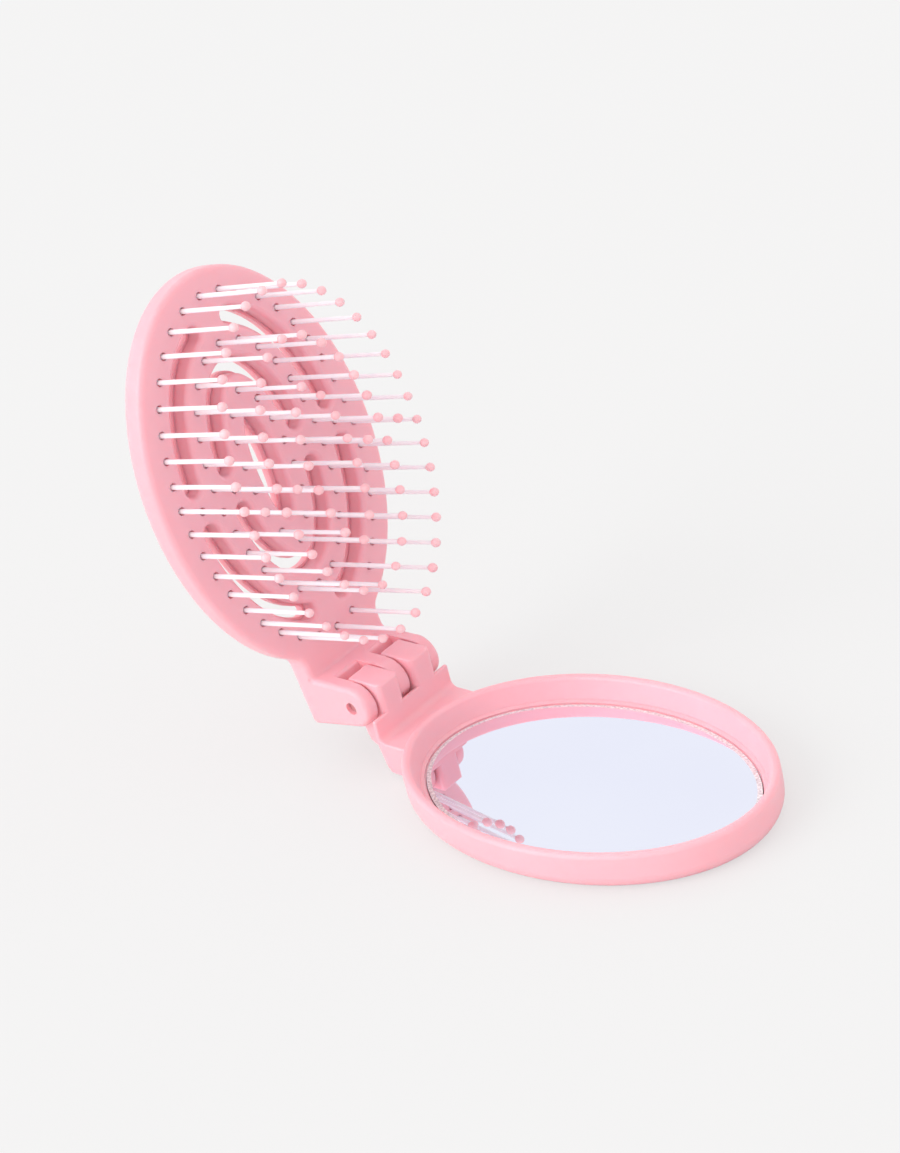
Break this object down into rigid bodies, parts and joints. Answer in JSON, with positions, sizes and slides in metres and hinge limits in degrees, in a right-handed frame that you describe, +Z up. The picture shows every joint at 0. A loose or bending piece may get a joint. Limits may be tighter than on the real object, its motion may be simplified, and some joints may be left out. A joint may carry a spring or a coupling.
{
  "type": "folding hairbrush with mirror",
  "caption": "Pocket hairbrush that folds: an oval vented brush half with ball-tipped pins, hinged to an oval mirror in a raised rim.",
  "frame": {"origin": "middle of the mirror half's flat underside, below the middle of the glass", "axes": "+Z up, +X from the hinge towards the mirror, Y along the hinge axis"},
  "size_m": [0.1244, 0.059, 0.1056],
  "materials": {
    "pink_plastic": "satin moulded plastic",
    "adhesive_pad": "foam tape",
    "mirror": "polished, bevelled edge",
    "elastic_pad": "soft matte",
    "nylon": "smooth nylon",
    "tip_resin": "glossy drop",
    "pin_steel": "drawn wire"
  },
  "bodies": {
    "mirror_half": {"mirror_shell": "pink_plastic", "mirror_pad": "adhesive_pad", "mirror_glass": "mirror"},
    "brush_half": {"brush_body": "pink_plastic", "back_cover": "pink_plastic", "cushion_pad": "elastic_pad", "pins_outer": "nylon", "pins_middle": "nylon", "pins_inner": "nylon", "pins_side": "nylon", "tips_outer": "tip_resin", "tips_middle": "tip_resin", "tips_inner": "tip_resin", "tips_side": "tip_resin", "hinge_pin": "pin_steel"}
  },
  "joints": [
    {"name": "fold", "type": "hinge", "parent": "mirror_half", "child": "brush_half", "pos_m": [-0.0512, 0, 0.0152], "axis": [0, 1, 0], "range_deg": [-80, 100]}
  ]
}
